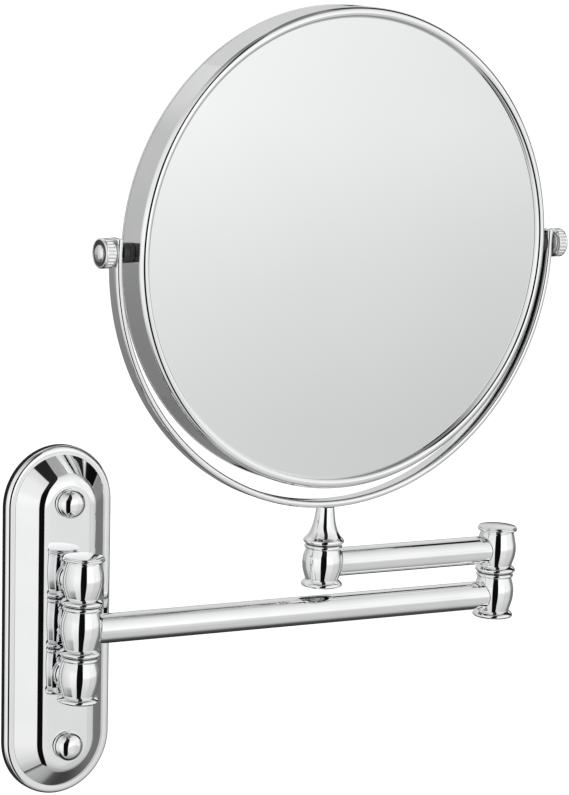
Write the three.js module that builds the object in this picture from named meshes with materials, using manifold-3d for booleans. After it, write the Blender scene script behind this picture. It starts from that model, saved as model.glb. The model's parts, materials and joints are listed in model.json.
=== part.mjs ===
// Extendable wall-mounted shaving mirror: wall plate, folding double arm, swivel post, yoke, tilting mirror.
// Millimetres. +X runs along the wall, +Y into it, +Z up. The origin is the middle of the plate's back.

import * as THREE from 'three';
import { mergeVertices } from 'three/addons/utils/BufferGeometryUtils.js';
import Module from 'manifold-3d';

const wasm = await Module();
wasm.setup();

// ---------------------------------------------------------------- driving dimensions

const GAP = 0.1;                 // play between faces that meet
const BORE_PLAY = 0.3;           // radial play round pins, spigots and screws

const PLATE_HALF_WIDTH = 25;
const PLATE_HALF_HEIGHT = 75;
const PLATE_DEPTH = 12.5;        // wall to the flat front of the plate
const SHEET = 1.5;               // thickness of the pressed plate
const WALL_SCREW_HOLE = 2.6;
const KNUCKLE_SCREW_HOLE = 2.1;

const HINGE_DEPTH = 23;          // wall to the plane of every vertical axis
const LOWER_ARM = 212;           // wall hinge axis to elbow axis
const UPPER_ARM = 93;            // elbow axis to post axis
const ARM_RISE = 20.5;           // upper arm above lower arm
const TUBE_RADIUS = 6.2;
const TUBE_BORE = 5;

const PIN_RADIUS = 3;
const BORE_RADIUS = PIN_RADIUS + BORE_PLAY;
const FLARE_RADIUS = 8.9;        // foot of every barrel
const BELLY_RADIUS = 8.8;
const WAIST_RADIUS = 7.2;
const BEAD_RADIUS = 8.1;         // top of every barrel
const RECESS_RADIUS = 6.2;       // pocket for the nut under a barrel
const RECESS_DEPTH = 6.5;
const WASHER = 0.5;              // space for a nylon washer between two barrels
const WASHER_PLAY = 0.06;

const WALL_MID = 10.5;           // half height of the barrel on the lower arm's wall end
const WALL_UPPER_TOP = 29.5;
const WALL_LOWER_BOTTOM = -30.5;
const ELBOW_LOW = 10;            // half height of the lower elbow barrel
const UPPER_BARREL_TOP = 29;     // top of the elbow's and post's barrels on the upper arm

const MIRROR_RADIUS = 103;
const MIRROR_CENTRE_Z = 158;
const RIM_HALF_DEPTH = 7;
const GLASS_RADIUS = 100.4;
const GLASS_THICKNESS = 2;
const GLASS_FACE = 7.2;          // mirror mid-plane to the front of each glass
const DISH = 5;                  // depth of the magnifying glass's hollow

const YOKE_INNER = 108.5;
const YOKE_OUTER = 111.5;
const YOKE_HALF_WIDTH = 4;
const YOKE_DROP = 1;             // centre of the yoke's arc below the tilt axis
const YOKE_END_RISE = 6;         // the yoke's ends above the tilt axis
const PIVOT_BORE = 2.7;
const STUD_RADIUS = 2.4;
const KNOB_LENGTH = 4.8;         // ribbed part

const SCREW_SPACING = 52;        // wall screws above and below the origin
const KNUCKLE_SCREW_Z = 20.5;

const ELBOW_X = LOWER_ARM;
const POST_X = LOWER_ARM - UPPER_ARM;
const AXIS_Y = -HINGE_DEPTH;
const YOKE_CENTRE_Z = MIRROR_CENTRE_Z - YOKE_DROP;
const POST_TOP = YOKE_CENTRE_Z - YOKE_OUTER;

// ---------------------------------------------------------------- geometry helpers

// A geometry becomes a manifold solid: only positions, shared vertices merged, collapsed triangles dropped.
function solid(geometry) {
  const bare = geometry.clone();
  bare.deleteAttribute('normal');
  bare.deleteAttribute('uv');
  const merged = mergeVertices(bare, 1e-4);
  const index = merged.index.array;
  const triVerts = [];
  for (let i = 0; i < index.length; i += 3) {
    const [a, b, c] = [index[i], index[i + 1], index[i + 2]];
    if (a !== b && b !== c && c !== a) triVerts.push(a, b, c);
  }
  return new wasm.Manifold(new wasm.Mesh({
    numProp: 3,
    vertProperties: new Float32Array(merged.attributes.position.array),
    triVerts: new Uint32Array(triVerts),
  }));
}

function geometryOf(manifold) {
  const mesh = manifold.getMesh();
  const geometry = new THREE.BufferGeometry();
  geometry.setAttribute('position', new THREE.BufferAttribute(new Float32Array(mesh.vertProperties), 3));
  geometry.setIndex(new THREE.BufferAttribute(new Uint32Array(mesh.triVerts), 1));
  return geometry;
}

function join(first, ...others) {
  return geometryOf(others.reduce((whole, part) => whole.add(solid(part)), solid(first)));
}

function cut(first, ...tools) {
  return geometryOf(tools.reduce((whole, tool) => whole.subtract(solid(tool)), solid(first)));
}

// Profile of [radius, height] points, bottom outside first, turned about +Y.
function lathe(profile, segments) {
  return new THREE.LatheGeometry(profile.map(([r, h]) => new THREE.Vector2(r, h)), segments);
}

// The same, standing along +Z at (x, AXIS_Y).
function turned(profile, x, segments = 20) {
  return lathe(profile, segments).rotateX(Math.PI / 2).translate(x, AXIS_Y, 0);
}

function closed(profile) {
  return [...profile, profile[0]];
}

function tubeProfile(inner, outer, low, high) {
  return closed([[inner, low], [outer, low], [outer, high], [inner, high]]);
}

// A plain round bar from low to high along one axis through (x, y, z).
function bar(axis, radius, low, high, [x, y, z], segments = 16) {
  const geometry = lathe([[0, low], [radius, low], [radius, high], [0, high]], segments);
  if (axis === 'x') geometry.rotateZ(-Math.PI / 2);
  if (axis === 'z') geometry.rotateX(Math.PI / 2);
  return geometry.translate(x, y, z);
}

// A ring or tube from low to high along X through (x, AXIS_Y, MIRROR_CENTRE_Z).
function ringAlongX(inner, outer, low, high, segments = 16) {
  return lathe(tubeProfile(inner, outer, low, high), segments).rotateZ(-Math.PI / 2)
    .translate(POST_X, AXIS_Y, MIRROR_CENTRE_Z);
}

function hexNut(x, low, high, acrossCorners, hole) {
  const outline = new THREE.Shape();
  for (let corner = 0; corner < 6; corner += 1) {
    const angle = (corner * Math.PI) / 3;
    const point = [acrossCorners * Math.cos(angle), acrossCorners * Math.sin(angle)];
    if (corner === 0) outline.moveTo(...point);
    else outline.lineTo(...point);
  }
  outline.closePath();
  const bore = new THREE.Path();
  bore.absarc(0, 0, hole, 0, 2 * Math.PI, true);
  outline.holes.push(bore);
  return new THREE.ExtrudeGeometry(outline, { depth: high - low, bevelEnabled: false, curveSegments: 8 })
    .translate(x, AXIS_Y, low);
}

// Skin over a row of rings of [x, y, z] points, closed at both ends by a fan.
function skin(rings) {
  const perRing = rings[0].length;
  const middleOf = (ring) => [0, 1, 2].map((k) => ring.reduce((sum, point) => sum + point[k], 0) / perRing);
  const points = [...rings.flat(), middleOf(rings[0]), middleOf(rings[rings.length - 1])];
  const last = (rings.length - 1) * perRing;
  const firstFan = rings.length * perRing;
  const index = [];
  for (let i = 0; i < perRing; i += 1) {
    const next = (i + 1) % perRing;
    for (let start = 0; start < last; start += perRing) {
      const [a, b] = [start + i, start + next];
      index.push(a, b + perRing, b, a, a + perRing, b + perRing);
    }
    index.push(firstFan, i, next);
    index.push(firstFan + 1, last + next, last + i);
  }
  const geometry = new THREE.BufferGeometry();
  geometry.setAttribute('position', new THREE.Float32BufferAttribute(points.flat(), 3));
  geometry.setIndex(index);
  return geometry;
}

// Skin over nested stadium rings of [half width, distance from the wall].
function stadiumSkin(rings, straightHalf, steps) {
  return skin(rings.map(([halfWidth, depth]) => {
    const ring = [];
    for (const half of [0, 1]) {
      const centre = half === 0 ? straightHalf : -straightHalf;
      for (let i = 0; i <= steps; i += 1) {
        const angle = Math.PI * (half + i / steps);
        ring.push([halfWidth * Math.cos(angle), -depth, centre + halfWidth * Math.sin(angle)]);
      }
    }
    return ring;
  }));
}

// ---------------------------------------------------------------- turned barrels

// Outside of one hinge barrel: flared foot, long belly and a small bead at the top.
function barrelOutside(bottom, top) {
  const height = top - bottom;
  return [
    [FLARE_RADIUS - 0.4, bottom], [FLARE_RADIUS, bottom + 0.5], [FLARE_RADIUS, bottom + 1.6],
    [WAIST_RADIUS, bottom + 3.3], [BELLY_RADIUS - 0.6, bottom + 0.35 * height],
    [BELLY_RADIUS, bottom + 0.56 * height], [BELLY_RADIUS - 0.4, bottom + 0.75 * height],
    [BEAD_RADIUS - 0.5, top - 1.9], [BEAD_RADIUS, top - 1.5], [BEAD_RADIUS, top],
  ];
}

function plainBarrel(x, bottom, top) {
  return turned(closed([[BORE_RADIUS, bottom], ...barrelOutside(bottom, top), [BORE_RADIUS, top]]), x);
}

// A barrel with a pocket for the nut in its foot.
function pocketBarrel(x, bottom, top) {
  const ceiling = bottom + RECESS_DEPTH;
  return turned(closed([
    [RECESS_RADIUS, bottom], ...barrelOutside(bottom, top),
    [BORE_RADIUS, top], [BORE_RADIUS, ceiling], [RECESS_RADIUS, ceiling],
  ]), x);
}

// Domed decorative head with a plain shank down to the nut.
function headedBolt(x, seat, tip) {
  const rim = 8.8;
  return turned([
    [0, tip], [PIN_RADIUS, tip], [PIN_RADIUS, seat + GAP], [rim - 0.4, seat + GAP], [rim, seat + 0.5],
    [rim, seat + 1.6], [6, seat + 2.3], [3, seat + 2.7], [0, seat + 2.8],
  ], x);
}

// Nut near the ceiling of the pocket, below its spring washer.
function nutUnder(x, bottom) {
  const top = bottom + RECESS_DEPTH - 1.2;
  const [height, cornerRadius] = [4, 5.2];
  return hexNut(x, top - height, top, cornerRadius, PIN_RADIUS + BORE_PLAY / 2);
}

function springWasherUnder(x, bottom) {
  const ceiling = bottom + RECESS_DEPTH;
  const [outer, thickness] = [5.4, 1];
  return turned(tubeProfile(BORE_RADIUS, outer, ceiling - GAP - thickness, ceiling - GAP), x, 16);
}

function nylonWasher(x, low) {
  const outer = BEAD_RADIUS - 0.5;
  return turned(tubeProfile(BORE_RADIUS, outer, low + WASHER_PLAY, low + WASHER - WASHER_PLAY), x, 16);
}

// ---------------------------------------------------------------- wall side

function wallPlate() {
  const w = PLATE_HALF_WIDTH;
  const front = PLATE_DEPTH;
  const inner = PLATE_DEPTH - SHEET;
  const [shoulderRadius, bevelAngle, edgeRadius] = [7.8, 41, 1.8];
  const arc = (x, depth, radius, angles) => angles.map(THREE.MathUtils.degToRad)
    .map((a) => [x + radius * Math.sin(a), depth + radius * Math.cos(a)]);
  const shoulder = arc(9.2, front - shoulderRadius, shoulderRadius, [0, 14, 28, bevelAngle]);
  const flange = [[w - 3, 3.9]];
  const edge = [...arc(w - edgeRadius, 2.1, edgeRadius, [0, 30, 60, 90]), [w, 0]];
  const back = [
    [w - SHEET, 0], [w - SHEET, 1.3], [w - 4.6, 2.1], [w - 12.4, inner - 0.8], [w - 13.7, inner],
  ];
  const holes = [];
  for (const side of [-1, 1]) {
    const through = [-front - 1, -inner + 1];
    holes.push(bar('y', WALL_SCREW_HOLE, ...through, [0, 0, side * SCREW_SPACING], 12));
    holes.push(bar('y', KNUCKLE_SCREW_HOLE, ...through, [0, 0, side * KNUCKLE_SCREW_Z], 12));
  }
  const rings = [...shoulder, ...flange, ...edge, ...back];
  return cut(stadiumSkin(rings, PLATE_HALF_HEIGHT - PLATE_HALF_WIDTH, 10), ...holes);
}

// Cast block that fills the plate from the wall to the back of its flat.
function backingBlock() {
  const halfWidth = 10.3;
  const front = PLATE_DEPTH - SHEET - GAP;
  const block = stadiumSkin([[halfWidth, front], [halfWidth, 0]], PLATE_HALF_HEIGHT - PLATE_HALF_WIDTH, 8);
  const holes = [];
  for (const side of [-1, 1]) {
    const counterbore = bar('y', 4, -6, 1, [0, 0, side * KNUCKLE_SCREW_Z], 12);
    holes.push(bar('y', WALL_SCREW_HOLE, -front - 1, 1, [0, 0, side * SCREW_SPACING], 12));
    holes.push(bar('y', KNUCKLE_SCREW_HOLE, -front - 1, 1, [0, 0, side * KNUCKLE_SCREW_Z], 12), counterbore);
  }
  return cut(block, ...holes);
}

// Upper or lower fixed barrel with its foot on the plate and a blind hole for the screw from behind.
function knuckle(barrel, z) {
  const footRadius = 5.6;
  const root = AXIS_Y + RECESS_RADIUS + 0.2;
  const foot = bar('y', footRadius, root, -PLATE_DEPTH - 0.02, [0, 0, z], 20);
  const screwHole = bar('y', KNUCKLE_SCREW_HOLE - 0.2, -18.6, -PLATE_DEPTH + 1, [0, 0, z], 12);
  return cut(join(barrel, foot), screwHole);
}

// Pan-head screw from the block's counterbore up into the foot.
function knuckleScrew(z) {
  const [tip, seat, headTop] = [-18.3, -5.9, -3.7];
  return lathe([
    [0, tip], [1.6, tip], [1.6, seat], [3.6, seat], [3.6, headTop - 0.5], [2.6, headTop], [0, headTop],
  ], 12).translate(0, 0, z);
}

function wallScrew(z) {
  const seat = -PLATE_DEPTH - 1;
  const [shank, taper, tip] = [2.1, 22, 27];
  return lathe([
    [0, seat - 2.3], [2.6, seat - 2.1], [4, seat - 1.2], [4.1, seat - GAP], [shank, seat - GAP],
    [shank, taper], [0.4, tip], [0, tip],
  ], 12).translate(0, 0, z);
}

// Ring under the screw's head that the dome snaps on to.
function capSeat(z) {
  const [inner, outer] = [2.5, 5];
  return lathe(tubeProfile(inner, outer, -PLATE_DEPTH - 0.95, -PLATE_DEPTH - 0.05), 20).translate(0, 0, z);
}

function screwCap(z) {
  const back = -PLATE_DEPTH - 0.05;
  return lathe([
    [0, back - 5.7], [2.6, back - 5.3], [4.6, back - 4.4], [5.7, back - 3.1], [6.2, back - 1.9], [6.2, back],
    [5.2, back], [5.2, back - 2.4], [4.4, back - 3.9], [0, back - 4.4],
  ], 16).translate(0, 0, z);
}

function wallPlug(z) {
  const [inner, outer] = [2.3, 3.5];
  return lathe(tubeProfile(inner, outer, 0.5, 29), 14).translate(0, 0, z);
}

// ---------------------------------------------------------------- arms

// Hollow tube between two barrels, hollowed at each end to sit round them.
function armTube(fromX, toX, z) {
  const outside = bar('x', TUBE_RADIUS, fromX + 2, toX - 2, [0, AXIS_Y, z], 24);
  const inside = bar('x', TUBE_BORE, fromX, toX, [0, AXIS_Y, z], 20);
  const saddle = BELLY_RADIUS + BORE_PLAY;
  const saddles = [fromX, toX].map((x) => bar('z', saddle, z - 12, z + 12, [x, AXIS_Y, 0], 32));
  return cut(outside, inside, ...saddles);
}

// Spigot that carries the tube, standing out of a barrel towards +X or -X.
function withSpigot(barrel, x, z, direction) {
  const radius = TUBE_BORE - BORE_PLAY;
  const [root, reach] = [RECESS_RADIUS + 0.2, 20];
  const [low, high] = direction > 0 ? [x + root, x + reach] : [x - reach, x - root];
  return join(barrel, bar('x', radius, low, high, [0, AXIS_Y, z], 16));
}

// ---------------------------------------------------------------- post and yoke

function swivelPost() {
  const base = UPPER_BARREL_TOP + WASHER;
  const [top, tip] = [POST_TOP - GAP, 12];
  const body = turned([
    [0, tip], [PIN_RADIUS, tip], [PIN_RADIUS, base], [8.2, base], [8.8, base + 0.5], [8.7, base + 1.6],
    [7.3, base + 3.2], [5.7, base + 6], [4.6, base + 9.6], [3.8, top], [0, top],
  ], POST_X);
  return cut(body, bar('z', 1.7, POST_TOP - 8, POST_TOP + 1, [POST_X, AXIS_Y, 0], 12));
}

// Flat bar with rounded edges, bent to a half ring, with straight ends that rise past the tilt axis.
function yoke() {
  const edge = YOKE_HALF_WIDTH;
  const [bulge, corner] = [1.1, 0.8];
  const section = [
    [YOKE_INNER, bulge - edge], [YOKE_INNER + corner, -edge],
    [YOKE_OUTER - corner, -edge], [YOKE_OUTER, bulge - edge],
    [YOKE_OUTER, edge - bulge], [YOKE_OUTER - corner, edge],
    [YOKE_INNER + corner, edge], [YOKE_INNER, edge - bulge],
  ];
  const bends = 32;
  const top = MIRROR_CENTRE_Z + YOKE_END_RISE;
  const straight = (side) => section.map(([r, y]) => [POST_X + side * r, AXIS_Y + y, top]);
  const rings = [straight(1)];
  for (let i = 0; i <= bends; i += 1) {
    const angle = -Math.PI * (i / bends);
    rings.push(section.map(([r, y]) => [
      POST_X + r * Math.cos(angle), AXIS_Y + y, YOKE_CENTRE_Z + r * Math.sin(angle),
    ]));
  }
  rings.push(straight(-1));
  const reach = YOKE_OUTER + 5;
  const pivotHole = bar('x', PIVOT_BORE, -reach, reach, [POST_X, AXIS_Y, MIRROR_CENTRE_Z], 12);
  const [hole, sinkStart, sinkRadius] = [1.9, POST_TOP + 1.4, 3.3];
  const sinkEnd = POST_TOP + YOKE_OUTER - YOKE_INNER;
  const screwHole = turned([
    [0, POST_TOP - 5], [hole, POST_TOP - 5], [hole, sinkStart], [sinkRadius, sinkEnd],
    [sinkRadius, sinkEnd + 2], [0, sinkEnd + 2],
  ], POST_X, 12);
  return cut(skin(rings), pivotHole, screwHole);
}

// Countersunk screw from inside the yoke down into the post.
function yokeScrew() {
  const [shank, headRadius] = [1.4, 2.9];
  const headTop = POST_TOP + YOKE_OUTER - YOKE_INNER - 0.2;
  return turned([
    [0, POST_TOP - 7], [shank, POST_TOP - 7], [shank, headTop - 1.5], [headRadius, headTop], [0, headTop],
  ], POST_X, 12);
}

// ---------------------------------------------------------------- mirror head

function aboutMirror(profile, segments) {
  return lathe(profile, segments).translate(POST_X, AXIS_Y, MIRROR_CENTRE_Z);
}

function rimBand() {
  const halfDepth = RIM_HALF_DEPTH - 0.5;
  const band = aboutMirror(tubeProfile(MIRROR_RADIUS - 1.5, MIRROR_RADIUS, -halfDepth, halfDepth), 64);
  const reach = MIRROR_RADIUS + 5;
  return cut(band, bar('x', PIVOT_BORE, -reach, reach, [POST_X, AXIS_Y, MIRROR_CENTRE_Z], 12));
}

// Rounded ring that holds a glass, on the side of the head given by -1 (front) or 1 (rear).
function bezel(side) {
  const r = MIRROR_RADIUS;
  const seat = GLASS_FACE + GAP;
  const section = [
    [r - 2.2, 6.6], [r + 0.2, 6.6], [r + 0.2, 7.8], [r - 0.5, 9], [r - 1.6, 9.6],
    [r - 3, 9.4], [r - 4.2, 8.4], [r - 4.7, seat], [r - 2.2, seat],
  ].map(([radius, depth]) => [radius, side * depth]);
  return aboutMirror(closed(side < 0 ? section.reverse() : section), 48);
}

function plainGlass() {
  const [face, back] = [-GLASS_FACE, GLASS_THICKNESS - GLASS_FACE];
  return aboutMirror([[0, face], [GLASS_RADIUS, face], [GLASS_RADIUS, back], [0, back]], 48);
}

// Magnifying glass: its outer face is a shallow bowl.
function dishedGlass() {
  const bowl = (radius) => DISH * (1 - (radius / GLASS_RADIUS) ** 2);
  const stations = [0, 0.4, 0.75, 1].map((share) => share * GLASS_RADIUS);
  const back = stations.map((radius) => [radius, GLASS_FACE - GLASS_THICKNESS - bowl(radius)]);
  const face = stations.map((radius) => [radius, GLASS_FACE - bowl(radius)]);
  return aboutMirror([...back, ...face.reverse()], 48);
}

function backingBoard() {
  const low = GLASS_THICKNESS - GLASS_FACE + GAP;
  return aboutMirror([[0, low], [GLASS_RADIUS, low], [GLASS_RADIUS, low + 1], [0, low + 1]], 48);
}

// Card ring that keeps the board and the magnifying glass apart.
function spacerRing() {
  const [inner, outer, halfDepth] = [90.5, 94.5, 4];
  return aboutMirror(tubeProfile(inner, outer, -halfDepth, halfDepth), 36);
}

// Threaded boss for a knob's stud, inside the rim.
function pivotBoss(side) {
  const [near, far, outer] = [95, MIRROR_RADIUS - 1.7, 3.9];
  return side < 0 ? ringAlongX(PIVOT_BORE, outer, -far, -near) : ringAlongX(PIVOT_BORE, outer, near, far);
}

function pivotBush(side) {
  const [near, far, outer] = [MIRROR_RADIUS + GAP, YOKE_INNER - BORE_PLAY, 4.2];
  return side < 0 ? ringAlongX(PIVOT_BORE, outer, -far, -near) : ringAlongX(PIVOT_BORE, outer, near, far);
}

function knobWasher(side) {
  const [near, far, outer] = [YOKE_OUTER + GAP, YOKE_OUTER + 1, 6.6];
  const [low, high] = side < 0 ? [-far, -near] : [near, far];
  return ringAlongX(PIVOT_BORE, outer, low, high, 20);
}

// Thumb screw: ribbed grip, raised face and the stud that runs into the pivot boss.
function knob(side) {
  const ribs = 20;
  const [crest, valley] = [6.35, 5.9];
  const outline = new THREE.Shape();
  for (let i = 0; i < 2 * ribs; i += 1) {
    const angle = (i * Math.PI) / ribs;
    const radius = i % 2 ? valley : crest;
    const point = [radius * Math.cos(angle), radius * Math.sin(angle)];
    if (i === 0) outline.moveTo(...point);
    else outline.lineTo(...point);
  }
  outline.closePath();
  const gripStart = YOKE_OUTER + 1.2;
  const gripEnd = gripStart + KNOB_LENGTH;
  const grip = new THREE.ExtrudeGeometry(outline, { depth: KNOB_LENGTH, bevelEnabled: false })
    .rotateY(Math.PI / 2).translate(gripStart, 0, 0);
  const face = lathe([
    [0, gripEnd - 1], [4.8, gripEnd - 1], [4.8, gripEnd + 0.7], [3.8, gripEnd + 1.3], [0, gripEnd + 1.5],
  ], 20).rotateZ(-Math.PI / 2);
  const stud = bar('x', STUD_RADIUS, 96, gripStart + 1, [0, 0, 0], 12);
  const whole = join(grip, face, stud);
  if (side < 0) whole.rotateY(Math.PI);
  return whole.translate(POST_X, AXIS_Y, MIRROR_CENTRE_Z);
}

// ---------------------------------------------------------------- materials

function standard(color, metalness, roughness) {
  return new THREE.MeshStandardMaterial({ color, metalness, roughness });
}

const chrome = standard(0xd8dadc, 1, 0.06);
const steel = standard(0x9a9da0, 1, 0.35);
const mirrorGlass = standard(0xdfe3e4, 1, 0.02);
const nylon = standard(0x2b2b2d, 0, 0.5);
const plugPlastic = standard(0x8f9294, 0, 0.6);
const board = standard(0x3a3a3c, 0, 0.8);
const castMetal = standard(0x7d7f82, 0.8, 0.5);

// ---------------------------------------------------------------- assembly

const mirror = new THREE.Group();

function place(group, name, geometry, material) {
  const mesh = new THREE.Mesh(geometry, material);
  mesh.name = name;
  group.add(mesh);
}

const wallSide = new THREE.Group();
place(wallSide, 'wall_plate', wallPlate(), chrome);
place(wallSide, 'backing_block', backingBlock(), castMetal);
const upperKnuckle = plainBarrel(0, WALL_MID + WASHER, WALL_UPPER_TOP);
const lowerKnuckle = pocketBarrel(0, WALL_LOWER_BOTTOM, -WALL_MID - WASHER);
place(wallSide, 'hinge_knuckle_upper', knuckle(upperKnuckle, KNUCKLE_SCREW_Z), chrome);
place(wallSide, 'hinge_knuckle_lower', knuckle(lowerKnuckle, -KNUCKLE_SCREW_Z), chrome);
place(wallSide, 'hinge_bolt', headedBolt(0, WALL_UPPER_TOP, WALL_LOWER_BOTTOM + 0.8), chrome);
place(wallSide, 'hinge_nut', nutUnder(0, WALL_LOWER_BOTTOM), steel);
place(wallSide, 'hinge_spring_washer', springWasherUnder(0, WALL_LOWER_BOTTOM), steel);
place(wallSide, 'hinge_washer_upper', nylonWasher(0, WALL_MID), nylon);
place(wallSide, 'hinge_washer_lower', nylonWasher(0, -WALL_MID - WASHER), nylon);
for (const [word, side] of [['upper', 1], ['lower', -1]]) {
  place(wallSide, `knuckle_screw_${word}`, knuckleScrew(side * KNUCKLE_SCREW_Z), steel);
  place(wallSide, `wall_screw_${word}`, wallScrew(side * SCREW_SPACING), steel);
  place(wallSide, `cap_seat_${word}`, capSeat(side * SCREW_SPACING), nylon);
  place(wallSide, `screw_cap_${word}`, screwCap(side * SCREW_SPACING), chrome);
  place(wallSide, `wall_plug_${word}`, wallPlug(side * SCREW_SPACING), plugPlastic);
}

const lowerArm = new THREE.Group();
place(lowerArm, 'lower_arm_knuckle', withSpigot(plainBarrel(0, -WALL_MID, WALL_MID), 0, 0, 1), chrome);
place(lowerArm, 'lower_arm_tube', armTube(0, ELBOW_X, 0), chrome);
const lowerElbow = pocketBarrel(ELBOW_X, -ELBOW_LOW, ELBOW_LOW);
place(lowerArm, 'lower_arm_elbow', withSpigot(lowerElbow, ELBOW_X, 0, -1), chrome);
place(lowerArm, 'elbow_washer', nylonWasher(ELBOW_X, ELBOW_LOW), nylon);

const upperArm = new THREE.Group();
const barrelFoot = ELBOW_LOW + WASHER;
const upperElbow = plainBarrel(ELBOW_X, barrelFoot, UPPER_BARREL_TOP);
place(upperArm, 'upper_arm_elbow', withSpigot(upperElbow, ELBOW_X, ARM_RISE, -1), chrome);
place(upperArm, 'elbow_bolt', headedBolt(ELBOW_X, UPPER_BARREL_TOP, -ELBOW_LOW + 0.8), chrome);
place(upperArm, 'elbow_nut', nutUnder(ELBOW_X, -ELBOW_LOW), steel);
place(upperArm, 'elbow_spring_washer', springWasherUnder(ELBOW_X, -ELBOW_LOW), steel);
place(upperArm, 'upper_arm_tube', armTube(POST_X, ELBOW_X, ARM_RISE), chrome);
const socket = pocketBarrel(POST_X, barrelFoot, UPPER_BARREL_TOP);
place(upperArm, 'post_socket', withSpigot(socket, POST_X, ARM_RISE, 1), chrome);
place(upperArm, 'post_washer', nylonWasher(POST_X, UPPER_BARREL_TOP), nylon);

const swivel = new THREE.Group();
place(swivel, 'swivel_post', swivelPost(), chrome);
place(swivel, 'post_nut', nutUnder(POST_X, barrelFoot), steel);
place(swivel, 'post_spring_washer', springWasherUnder(POST_X, barrelFoot), steel);
place(swivel, 'yoke', yoke(), chrome);
place(swivel, 'yoke_screw', yokeScrew(), steel);

const head = new THREE.Group();
place(head, 'rim_band', rimBand(), chrome);
place(head, 'front_bezel', bezel(-1), chrome);
place(head, 'rear_bezel', bezel(1), chrome);
place(head, 'plain_glass', plainGlass(), mirrorGlass);
place(head, 'magnifying_glass', dishedGlass(), mirrorGlass);
place(head, 'backing_board', backingBoard(), board);
place(head, 'spacer_ring', spacerRing(), board);
for (const [word, side] of [['left', -1], ['right', 1]]) {
  place(head, `pivot_boss_${word}`, pivotBoss(side), steel);
  place(head, `pivot_bush_${word}`, pivotBush(side), nylon);
  place(swivel, `knob_washer_${word}`, knobWasher(side), steel);
  place(mirror, `knob_${word}`, knob(side), chrome);
}

mirror.add(wallSide, lowerArm, upperArm, swivel, head);

export default mirror;
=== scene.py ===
import json
import math

import bmesh
import bpy
from mathutils import Matrix, Vector

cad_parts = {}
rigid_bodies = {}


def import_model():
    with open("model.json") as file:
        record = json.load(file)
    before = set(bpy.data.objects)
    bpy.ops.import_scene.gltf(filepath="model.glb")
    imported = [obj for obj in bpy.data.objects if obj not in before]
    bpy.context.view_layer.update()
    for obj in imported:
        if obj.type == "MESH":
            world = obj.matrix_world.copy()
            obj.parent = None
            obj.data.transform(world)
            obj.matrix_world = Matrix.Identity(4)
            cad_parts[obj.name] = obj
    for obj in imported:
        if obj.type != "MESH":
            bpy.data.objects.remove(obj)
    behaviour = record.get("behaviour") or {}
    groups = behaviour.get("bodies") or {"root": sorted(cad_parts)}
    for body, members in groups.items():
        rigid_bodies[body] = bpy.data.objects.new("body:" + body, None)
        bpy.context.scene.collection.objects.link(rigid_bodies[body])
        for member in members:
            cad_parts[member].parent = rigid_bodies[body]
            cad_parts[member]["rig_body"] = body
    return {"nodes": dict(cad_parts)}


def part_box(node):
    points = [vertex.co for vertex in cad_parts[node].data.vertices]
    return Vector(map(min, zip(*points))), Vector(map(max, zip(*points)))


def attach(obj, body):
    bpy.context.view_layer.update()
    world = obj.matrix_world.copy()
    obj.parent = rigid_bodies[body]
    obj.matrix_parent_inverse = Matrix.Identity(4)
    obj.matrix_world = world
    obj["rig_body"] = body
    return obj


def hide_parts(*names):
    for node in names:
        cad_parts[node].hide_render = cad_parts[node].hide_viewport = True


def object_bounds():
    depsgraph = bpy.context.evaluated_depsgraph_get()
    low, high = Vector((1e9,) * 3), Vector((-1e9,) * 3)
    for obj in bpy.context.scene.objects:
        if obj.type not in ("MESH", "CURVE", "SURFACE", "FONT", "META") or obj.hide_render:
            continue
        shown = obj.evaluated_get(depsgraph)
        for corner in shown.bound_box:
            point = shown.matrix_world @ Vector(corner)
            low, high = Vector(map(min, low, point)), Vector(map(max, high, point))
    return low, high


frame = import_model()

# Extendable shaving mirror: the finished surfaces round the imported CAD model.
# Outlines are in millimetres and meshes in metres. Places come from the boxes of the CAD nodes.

MM = 0.001
CAD_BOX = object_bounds()


# ---------------------------------------------------------------- places and sizes from the frame

def middle(node):
    low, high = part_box(node)
    return (low + high) / 2


def size(node):
    """The node's size in mm."""
    low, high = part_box(node)
    return (high - low) / MM


def heights(node):
    """The node's lowest and highest z in mm."""
    low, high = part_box(node)
    return low.z / MM, high.z / MM


def depths(node):
    """The node's lowest and highest y in mm. The wall is at 0 and the room in front of it is below 0."""
    low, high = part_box(node)
    return low.y / MM, high.y / MM


def at(point, y=None, z=None):
    """The point with its y or its z replaced."""
    return Vector((point.x, point.y if y is None else y, point.z if z is None else z))


WALL_AXIS = at(middle("hinge_bolt"), z=0)
ELBOW_AXIS = at(middle("elbow_bolt"), z=0)
POST_AXIS = at(middle("swivel_post"), z=0)
MIRROR_CENTRE = middle("rim_band")
PLATE_HALF_WIDTH = size("wall_plate").x / 2
PLATE_HALF_HEIGHT = size("wall_plate").z / 2
PLATE_DEPTH = size("wall_plate").y
PLATE_STRAIGHT = PLATE_HALF_HEIGHT - PLATE_HALF_WIDTH
TUBE_RADIUS = size("lower_arm_tube").z / 2
MIRROR_RADIUS = size("rim_band").z / 2
YOKE_OUTER = size("yoke").x / 2
YOKE_HALF_WIDTH = size("yoke").y / 2
YOKE_THICKNESS = 3.0
YOKE_DROP = 1.0
PLATE_LEAN = math.radians(-2.0)     # the plate hangs that much out of square with the hinge


def span_from_centre(node):
    """Nearest and furthest distance in mm from the mirror's middle, along X."""
    low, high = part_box(node)
    return sorted(abs(end.x - MIRROR_CENTRE.x) / MM for end in (low, high))


# ---------------------------------------------------------------- outlines

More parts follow.
